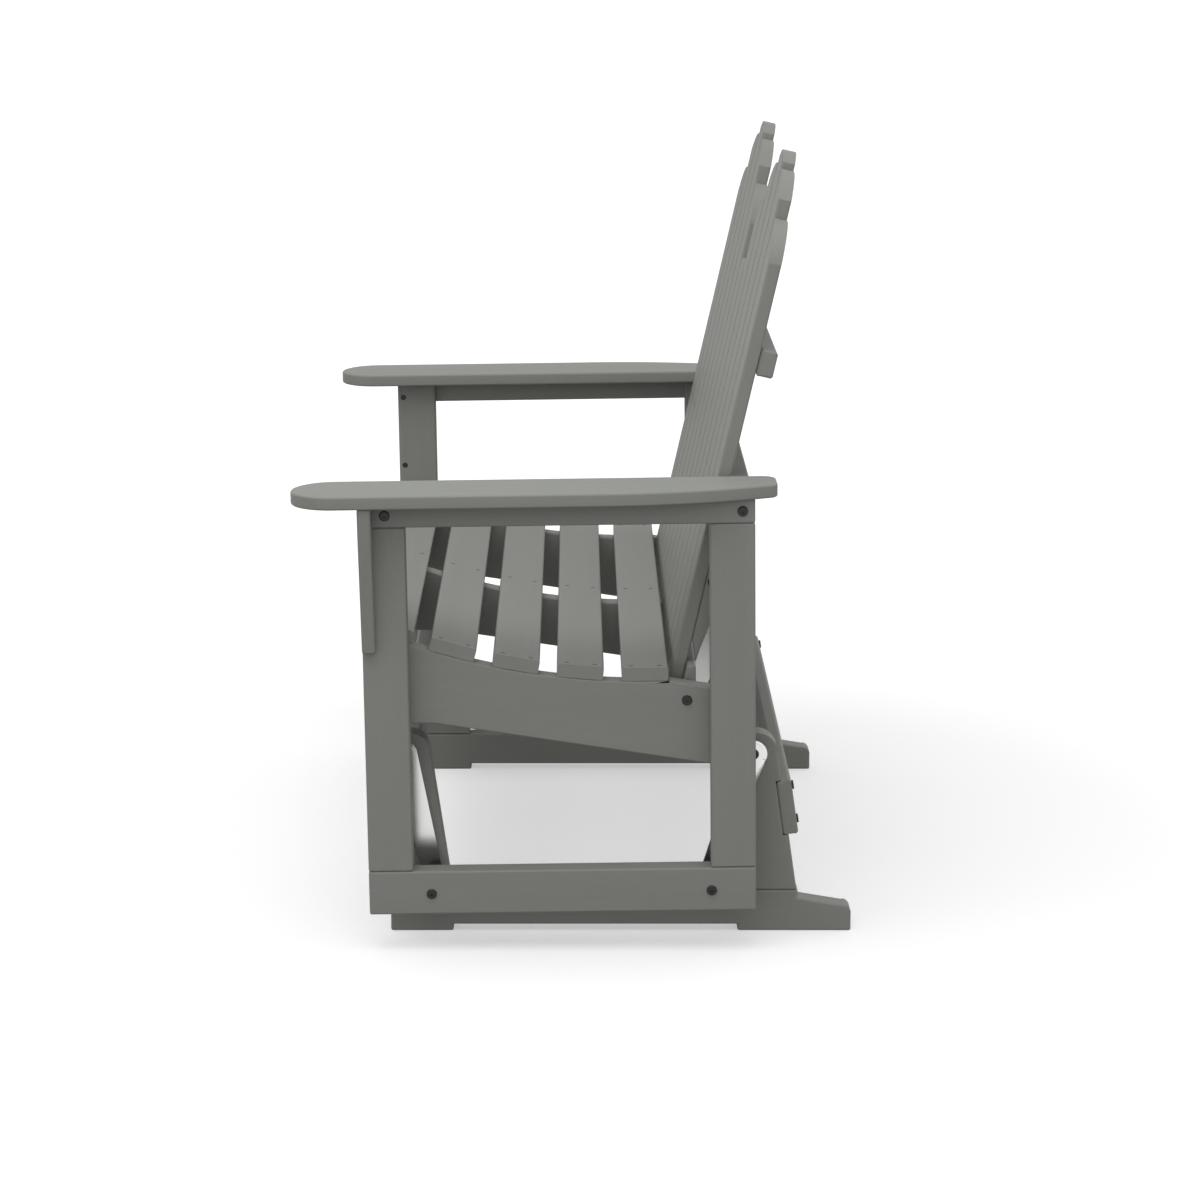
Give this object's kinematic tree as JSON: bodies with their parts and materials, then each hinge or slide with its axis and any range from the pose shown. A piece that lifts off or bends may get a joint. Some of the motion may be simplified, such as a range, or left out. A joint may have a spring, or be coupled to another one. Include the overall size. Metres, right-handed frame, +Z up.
{
  "type": "adirondack glider loveseat",
  "caption": "Garden glider loveseat in slate grey lumber with a double fan back, wide flat arms, dished slatted seat and a low skid base with swing arms",
  "frame": {"origin": "On the floor, under the middle of the glider's bounding box in the rest pose", "axes": "+X along the bench to the sitter's left, +Y to the back of the bench, +Z up; the front faces -Y"},
  "size_m": [1.197, 0.7979, 1.1168],
  "materials": {
    "lumber": "fine matte grain",
    "hardware": "black satin coat",
    "hanger": "polished bright",
    "bush": "moulded nylon"
  },
  "bodies": {
    "base": {"skid_left": "lumber", "skid_right": "lumber", "front_post_left": "lumber", "front_post_right": "lumber", "rear_post_left": "lumber", "rear_post_right": "lumber", "front_stretcher": "lumber", "rear_stretcher": "lumber", "upper_pivot_bolts": "hardware", "base_bolts": "hardware"},
    "front_arms": {"front_hanger_left": "hanger", "front_hanger_right": "hanger", "front_bushes": "bush"},
    "bench": {"bottom_rail_left": "lumber", "bottom_rail_right": "lumber", "front_leg_left": "lumber", "front_leg_right": "lumber", "rear_leg_left": "lumber", "rear_leg_right": "lumber", "arm_rail_left": "lumber", "arm_rail_right": "lumber", "armrest_left": "lumber", "armrest_right": "lumber", "corbel_left": "lumber", "corbel_right": "lumber", "seat_rail_left": "lumber", "seat_rail_right": "lumber", "centre_rail": "lumber", "front_apron": "lumber", "seat_slat_1": "lumber", "seat_slat_2": "lumber", "seat_slat_3": "lumber", "seat_slat_4": "lumber", "seat_slat_5": "lumber", "back_slat_1": "lumber", "back_slat_2": "lumber", "back_slat_3": "lumber", "back_slat_4": "lumber", "back_slat_5": "lumber", "back_slat_6": "lumber", "back_slat_7": "lumber", "back_slat_8": "lumber", "back_slat_9": "lumber", "back_slat_10": "lumber", "back_slat_11": "lumber", "seat_bar": "lumber", "middle_bar": "lumber", "arm_bar": "lumber", "top_bar": "lumber", "back_brace_left": "lumber", "back_brace_right": "lumber", "lower_pivot_bolts": "hardware", "frame_bolts": "hardware", "leg_screws": "hardware", "seat_screws": "hardware", "back_screws": "hardware"},
    "rear_arms": {"rear_hanger_left": "hanger", "rear_hanger_right": "hanger", "rear_bushes": "bush"}
  },
  "joints": [
    {"name": "front_arm_swing", "type": "hinge", "parent": "base", "child": "front_arms", "pos_m": [0, -0.25001, 0.2705], "axis": [1, 0, 0], "range_deg": [-6, 12]},
    {"name": "bench_swing", "type": "hinge", "parent": "front_arms", "child": "bench", "pos_m": [0, -0.20731, 0.08731], "axis": [1, 0, 0], "range_deg": [-15.2, 7.6]},
    {"name": "rear_arm_swing", "type": "hinge", "parent": "base", "child": "rear_arms", "pos_m": [0, 0.25339, 0.2705], "axis": [1, 0, 0], "range_deg": [-6.1, 12.1]}
  ],
  "couplings": [
    {"joint": "bench_swing", "follows": "front_arm_swing", "ratio": -1.26},
    {"joint": "rear_arm_swing", "follows": "front_arm_swing", "ratio": 1}
  ]
}
